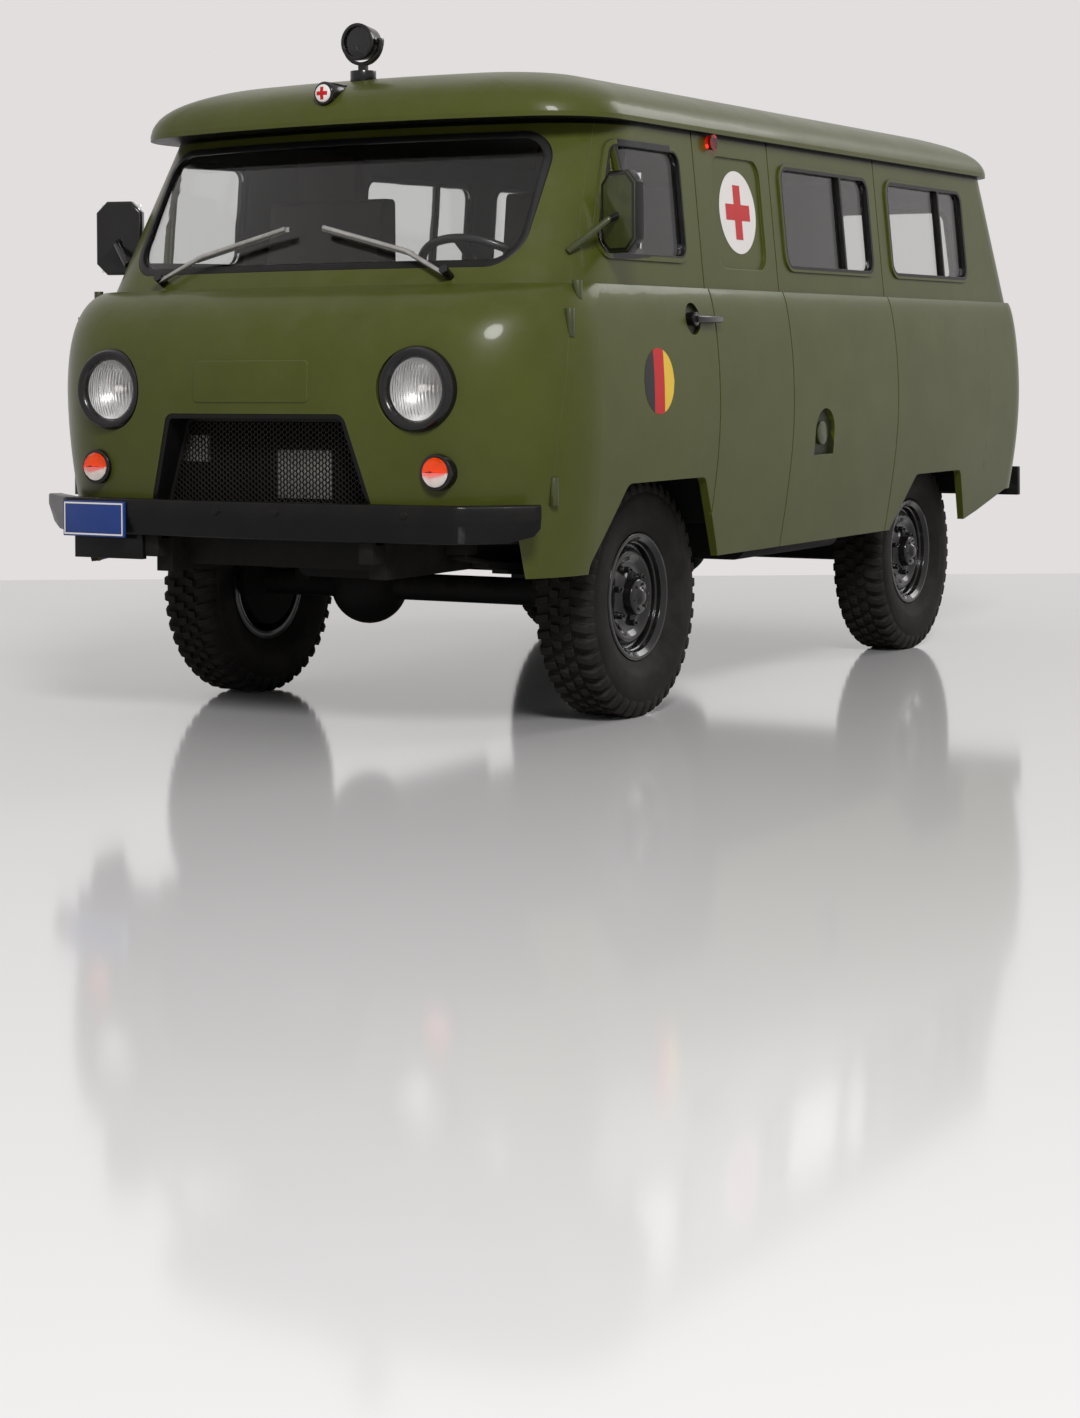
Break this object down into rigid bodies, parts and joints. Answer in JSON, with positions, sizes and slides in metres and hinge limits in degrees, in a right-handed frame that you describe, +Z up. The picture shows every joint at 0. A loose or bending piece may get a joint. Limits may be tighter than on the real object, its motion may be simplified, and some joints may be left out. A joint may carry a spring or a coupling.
{
  "type": "scale model of a military ambulance van",
  "caption": "Scale model of a cab-over military ambulance van: green one-box body, domed roof with searchlight, glazed cab and load space, ladder frame, and free-rolling wheels.",
  "frame": {"origin": "centre of the outer box on the surface that the tyres stand on", "axes": "+X forward along the van, +Y to its left, +Z up"},
  "size_m": [0.1816, 0.0872, 0.093],
  "materials": {
    "green_paint": "olive green semi-gloss model paint",
    "black_paint": "black satin paint",
    "underbody_black": "black matt underbody paint",
    "black_rubber": "black rubber window seal",
    "clear_glazing": "clear moulded glazing",
    "lamp_bowl": "bright lamp reflector",
    "lamp_glass": "clear lamp lens",
    "amber_glass": "orange lamp lens",
    "red_glass": "red lamp lens",
    "white_glass": "white lamp disc with a red cross",
    "black_plastic": "black plastic",
    "mirror_glass": "mirror glass",
    "wiper_metal": "silver painted wiper",
    "plate_blue": null,
    "tyre_rubber": "dark grey rubber",
    "wheel_black": "black gloss wheel paint",
    "interior_grey": "dull brown-grey interior paint",
    "seat_vinyl": "dark brown seat covering"
  },
  "bodies": {
    "chassis": {"bright_plates": "wiper_metal", "chassis_frame": "underbody_black", "cross_lamp": "black_plastic", "cross_lamp_lens": "white_glass", "dashboard": "interior_grey", "door_handles": "black_plastic", "door_hinges": "green_paint", "drive_shafts": "underbody_black", "engine_block": "underbody_black", "engine_cover": "interior_grey", "exhaust": "underbody_black", "filler_cap": "green_paint", "floor_pan": "underbody_black", "front_axle": "underbody_black", "front_bumper": "black_paint", "front_seats": "seat_vinyl", "fuel_tank": "underbody_black", "grille_mesh": "black_paint", "grille_surround": "black_paint", "headlight_bezels": "black_paint", "headlight_bowls": "lamp_bowl", "headlight_lenses": "lamp_glass", "indicator_ambers": "amber_glass", "indicator_bases": "green_paint", "indicator_clears": "lamp_glass", "leaf_springs": "underbody_black", "load_benches": "seat_vinyl", "mirror_glasses": "mirror_glass", "mirror_left": "green_paint", "mirror_right": "black_plastic", "nose_panel": "green_paint", "number_plate": "plate_blue", "radiator": "underbody_black", "rear_axle": "underbody_black", "rear_bumper": "black_paint", "rear_panel": "green_paint", "roof": "green_paint", "searchlight": "black_plastic", "searchlight_lens": "lamp_glass", "side_lamps": "red_glass", "side_panel_left": "green_paint", "side_panel_right": "green_paint", "steering_wheel": "black_plastic", "tail_lamps": "red_glass", "window_panes": "clear_glazing", "window_seals": "black_rubber", "windscreen": "clear_glazing", "windscreen_seal": "black_rubber", "wiper_arms": "wiper_metal"},
    "wheel_front_left": {"tyre_front_left": "tyre_rubber", "rim_front_left": "wheel_black"},
    "wheel_front_right": {"tyre_front_right": "tyre_rubber", "rim_front_right": "wheel_black"},
    "wheel_rear_left": {"tyre_rear_left": "tyre_rubber", "rim_rear_left": "wheel_black"},
    "wheel_rear_right": {"tyre_rear_right": "tyre_rubber", "rim_rear_right": "wheel_black"}
  },
  "joints": [
    {"name": "roll_front_left", "type": "hinge", "parent": "chassis", "child": "wheel_front_left", "pos_m": [0.04813, 0.03021, 0.01604], "axis": [0, 1, 0], "continuous": true},
    {"name": "roll_front_right", "type": "hinge", "parent": "chassis", "child": "wheel_front_right", "pos_m": [0.04813, -0.03021, 0.01604], "axis": [0, 1, 0], "continuous": true},
    {"name": "roll_rear_left", "type": "hinge", "parent": "chassis", "child": "wheel_rear_left", "pos_m": [-0.04771, 0.03021, 0.01604], "axis": [0, 1, 0], "continuous": true},
    {"name": "roll_rear_right", "type": "hinge", "parent": "chassis", "child": "wheel_rear_right", "pos_m": [-0.04771, -0.03021, 0.01604], "axis": [0, 1, 0], "continuous": true}
  ]
}
